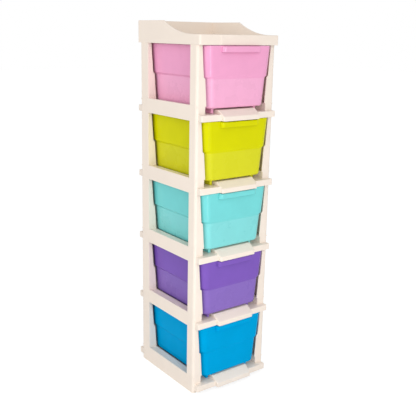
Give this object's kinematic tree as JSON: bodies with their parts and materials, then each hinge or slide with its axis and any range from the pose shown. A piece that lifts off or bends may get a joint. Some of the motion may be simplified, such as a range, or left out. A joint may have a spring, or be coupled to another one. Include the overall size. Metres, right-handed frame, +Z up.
{
  "type": "plastic drawer tower",
  "caption": "Tall tower of stacked shelves on corner posts, with a tapered pull-out tub drawer in every tier and an open tray with swept sides on top.",
  "frame": {"origin": "middle of the footprint at floor level", "axes": "+Z up, -Y the front, towards which the drawers pull out, X across the width"},
  "size_m": [0.247, 0.3014, 0.9645],
  "materials": {
    "cream_plastic": "semi-matt moulded",
    "blue_plastic": "semi-matt moulded",
    "purple_plastic": "semi-matt moulded",
    "aqua_plastic": "semi-matt moulded",
    "lime_plastic": "semi-matt moulded",
    "pink_plastic": "semi-matt moulded"
  },
  "bodies": {
    "frame": {"base_shelf": "cream_plastic", "shelf_2": "cream_plastic", "shelf_3": "cream_plastic", "shelf_4": "cream_plastic", "shelf_5": "cream_plastic", "post_front_left_1": "cream_plastic", "post_front_right_1": "cream_plastic", "post_rear_left_1": "cream_plastic", "post_rear_right_1": "cream_plastic", "post_front_left_2": "cream_plastic", "post_front_right_2": "cream_plastic", "post_rear_left_2": "cream_plastic", "post_rear_right_2": "cream_plastic", "post_front_left_3": "cream_plastic", "post_front_right_3": "cream_plastic", "post_rear_left_3": "cream_plastic", "post_rear_right_3": "cream_plastic", "post_front_left_4": "cream_plastic", "post_front_right_4": "cream_plastic", "post_rear_left_4": "cream_plastic", "post_rear_right_4": "cream_plastic", "post_front_left_5": "cream_plastic", "post_front_right_5": "cream_plastic", "post_rear_left_5": "cream_plastic", "post_rear_right_5": "cream_plastic", "top_tray": "cream_plastic"},
    "drawer_1": {"drawer_1": "blue_plastic"},
    "drawer_2": {"drawer_2": "purple_plastic"},
    "drawer_3": {"drawer_3": "aqua_plastic"},
    "drawer_4": {"drawer_4": "lime_plastic"},
    "drawer_5": {"drawer_5": "pink_plastic"}
  },
  "joints": [
    {"name": "drawer_1_slide", "type": "slide", "parent": "frame", "child": "drawer_1", "axis": [0, -1, 0], "range_m": [0, 0.19]},
    {"name": "drawer_2_slide", "type": "slide", "parent": "frame", "child": "drawer_2", "axis": [0, -1, 0], "range_m": [0, 0.19]},
    {"name": "drawer_3_slide", "type": "slide", "parent": "frame", "child": "drawer_3", "axis": [0, -1, 0], "range_m": [0, 0.19]},
    {"name": "drawer_4_slide", "type": "slide", "parent": "frame", "child": "drawer_4", "axis": [0, -1, 0], "range_m": [0, 0.19]},
    {"name": "drawer_5_slide", "type": "slide", "parent": "frame", "child": "drawer_5", "axis": [0, -1, 0], "range_m": [0, 0.19]}
  ]
}
